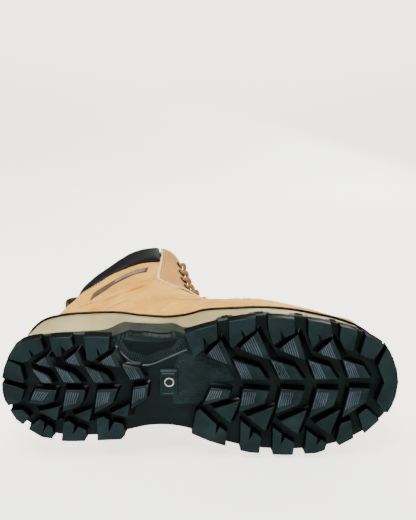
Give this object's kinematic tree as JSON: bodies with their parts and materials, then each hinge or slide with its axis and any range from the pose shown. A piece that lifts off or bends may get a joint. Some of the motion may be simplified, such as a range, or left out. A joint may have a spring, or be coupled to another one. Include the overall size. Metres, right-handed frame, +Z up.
{
  "type": "steel toe work boot",
  "caption": "Lace-up ankle work boot for the right foot with a steel toe cap, padded collar, foam midsole and deep-lugged rubber outsole.",
  "frame": {"origin": "the ground under the middle of the sole: the centre of the bottom of the bounding box", "axes": "+Z up, -Y towards the toe, +X towards the medial (inner) side of this right boot"},
  "size_m": [0.1186, 0.308, 0.2344],
  "materials": {
    "outsole_rubber": "moulded rubber, near black with a green cast, matt",
    "midsole_foam": "moulded polyurethane foam, sand beige, satin skin",
    "nubuck": "wheat nubuck, short nap, stitched",
    "padding": "soft padded leather, black with a green cast",
    "lining": "grey knitted lining",
    "webbing": "taupe woven webbing",
    "lace_cord": "braided lace, tan",
    "eyelet_metal": "burnished dark brass",
    "spring_steel": "hardened strip",
    "cap_steel": "pressed steel, grey epoxy coat",
    "board": "cellulose fibreboard",
    "footbed_foam": "foam with a cloth face"
  },
  "bodies": {
    "boot": {"outsole": "outsole_rubber", "midsole": "midsole_foam", "rand": "outsole_rubber", "bottom_filler": "board", "shank": "spring_steel", "insole_board": "board", "toe_cap": "cap_steel", "heel_counter": "board", "vamp": "nubuck", "vamp_lining": "lining", "backstay": "nubuck", "collar_pad": "padding", "side_label": "webbing", "pull_loop": "webbing", "lace": "lace_cord", "quarter_lateral": "nubuck", "shaft_panel_lateral": "nubuck", "eyestay_lateral": "nubuck", "lining_lateral": "lining", "eyelet_lateral_1": "eyelet_metal", "eyelet_lateral_2": "eyelet_metal", "eyelet_lateral_3": "eyelet_metal", "eyelet_lateral_4": "eyelet_metal", "eyelet_lateral_5": "eyelet_metal", "eyelet_lateral_6": "eyelet_metal", "eyelet_lateral_7": "eyelet_metal", "quarter_medial": "nubuck", "shaft_panel_medial": "nubuck", "eyestay_medial": "nubuck", "lining_medial": "lining", "eyelet_medial_1": "eyelet_metal", "eyelet_medial_2": "eyelet_metal", "eyelet_medial_3": "eyelet_metal", "eyelet_medial_4": "eyelet_metal", "eyelet_medial_5": "eyelet_metal", "eyelet_medial_6": "eyelet_metal", "eyelet_medial_7": "eyelet_metal"},
    "tongue": {"tongue": "padding"},
    "footbed": {"footbed": "footbed_foam"}
  },
  "joints": [
    {"name": "tongue_fold", "type": "hinge", "parent": "boot", "child": "tongue", "pos_m": [0, -0.0362, 0.0825], "axis": [1, 0, 0], "range_deg": [-12, 0]},
    {"name": "footbed_lift", "type": "hinge", "parent": "boot", "child": "footbed", "pos_m": [0, -0.13, 0.031], "axis": [1, 0, 0], "range_deg": [0, 3]}
  ]
}
